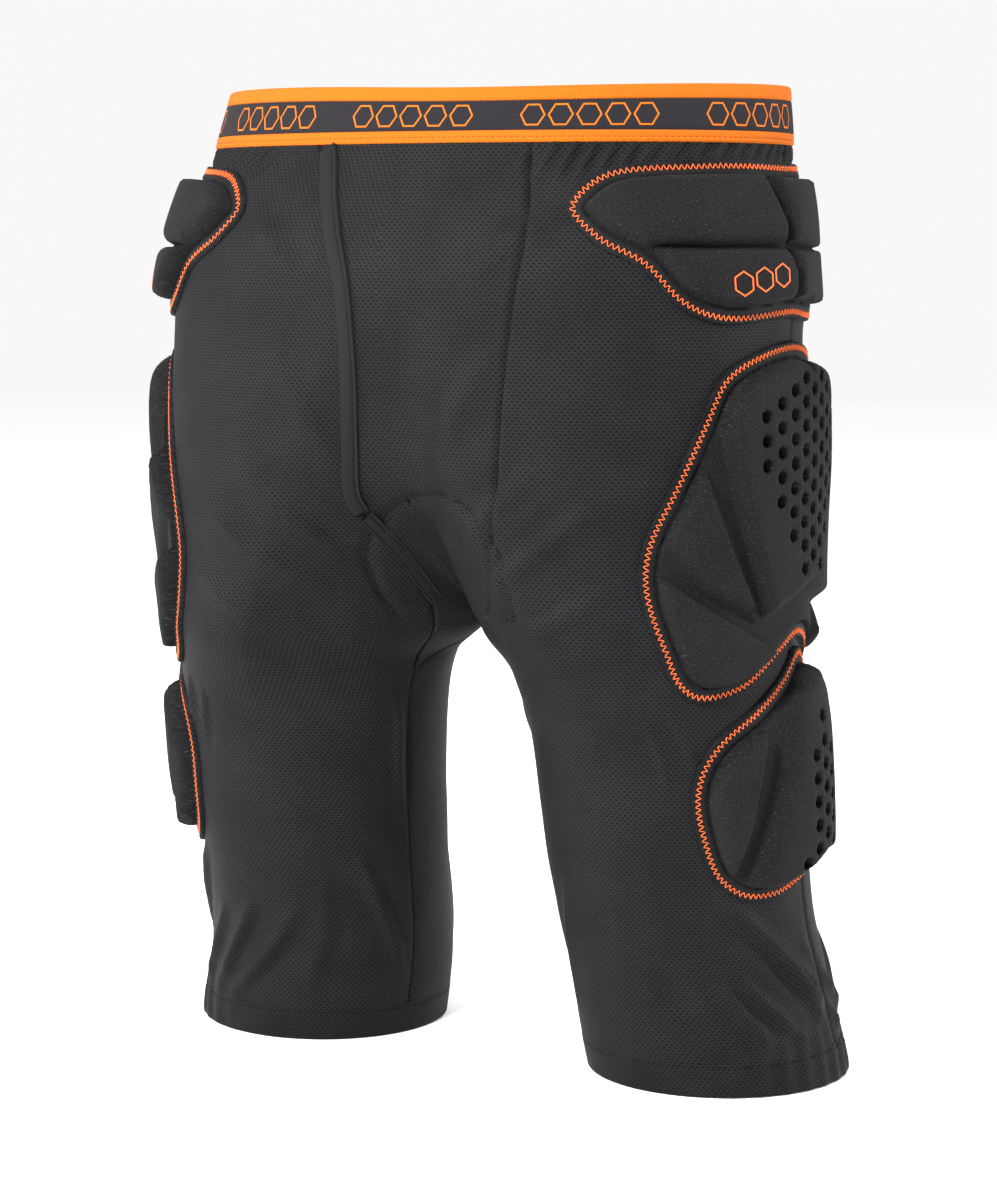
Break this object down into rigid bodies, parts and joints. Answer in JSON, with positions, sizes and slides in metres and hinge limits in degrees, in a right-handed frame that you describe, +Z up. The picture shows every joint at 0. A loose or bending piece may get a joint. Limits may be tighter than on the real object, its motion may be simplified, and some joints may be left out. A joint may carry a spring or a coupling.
{
  "type": "padded impact shorts",
  "caption": "Close-fitting knitted shorts with an elastic waistband, a padded crotch and raised protector pads on the hips, thighs, lower thighs and tailbone.",
  "frame": {"origin": "centre of the object's box, at the level of the hems' lower edges", "axes": "+Z up through the waist, -Y the way the wearer faces, +X the wearer's left"},
  "size_m": [0.396, 0.2585, 0.53],
  "materials": {
    "knit": "fine pinhole mesh knit, matt, slight sheen",
    "hem_knit": "folded mesh knit hem with a sewn edge",
    "elastic": "jacquard elastic, orange edges and a black middle",
    "tape": "smooth woven tape, edge-stitched",
    "pad_base": "thin bonded knit flange",
    "pad_cover": "matt jersey bonded to moulded foam",
    "liner": "brushed knit over soft foam",
    "orange_thread": "polyester thread, slight gloss",
    "black_thread": "polyester thread, slight gloss"
  },
  "bodies": {
    "pelvis": {"waistband": "elastic", "crotch_gusset": "knit", "front_panel": "knit", "seat_panel": "knit", "hip_panel_left": "knit", "hip_panel_right": "knit", "crotch_pad": "liner", "fly_tape_upper": "tape", "fly_tape_lower": "tape", "tailbone_pad_base": "pad_base", "tailbone_pad_foam": "pad_cover", "hip_pad_base_left": "pad_base", "hip_pad_base_right": "pad_base", "hip_pad_front_upper_left": "pad_cover", "hip_pad_front_upper_right": "pad_cover", "hip_pad_front_lower_left": "pad_cover", "hip_pad_front_lower_right": "pad_cover", "hip_pad_rear_upper_left": "pad_cover", "hip_pad_rear_upper_right": "pad_cover", "hip_pad_rear_lower_left": "pad_cover", "hip_pad_rear_lower_right": "pad_cover"},
    "leg_left": {"leg_front_panel_left": "knit", "leg_back_panel_left": "knit", "hem_left": "hem_knit", "thigh_pad_base_left": "pad_base", "thigh_pad_vent_plate_left": "pad_cover", "thigh_pad_front_upper_left": "pad_cover", "thigh_pad_front_lower_left": "pad_cover", "thigh_pad_rear_upper_left": "pad_cover", "thigh_pad_rear_lower_left": "pad_cover", "lower_pad_base_left": "pad_base", "lower_pad_front_left": "pad_cover", "lower_pad_vent_plate_left": "pad_cover", "lower_pad_rear_left": "pad_cover"},
    "leg_right": {"leg_front_panel_right": "knit", "leg_back_panel_right": "knit", "hem_right": "hem_knit", "thigh_pad_base_right": "pad_base", "thigh_pad_vent_plate_right": "pad_cover", "thigh_pad_front_upper_right": "pad_cover", "thigh_pad_front_lower_right": "pad_cover", "thigh_pad_rear_upper_right": "pad_cover", "thigh_pad_rear_lower_right": "pad_cover", "lower_pad_base_right": "pad_base", "lower_pad_front_right": "pad_cover", "lower_pad_vent_plate_right": "pad_cover", "lower_pad_rear_right": "pad_cover"}
  },
  "joints": [
    {"name": "hip_flex_left", "type": "hinge", "parent": "pelvis", "child": "leg_left", "pos_m": [0.1, -0.0118, 0.285], "axis": [-1, 0, 0], "range_deg": [-10, 45]},
    {"name": "hip_flex_right", "type": "hinge", "parent": "pelvis", "child": "leg_right", "pos_m": [-0.1, -0.0118, 0.285], "axis": [-1, 0, 0], "range_deg": [-10, 45]}
  ]
}
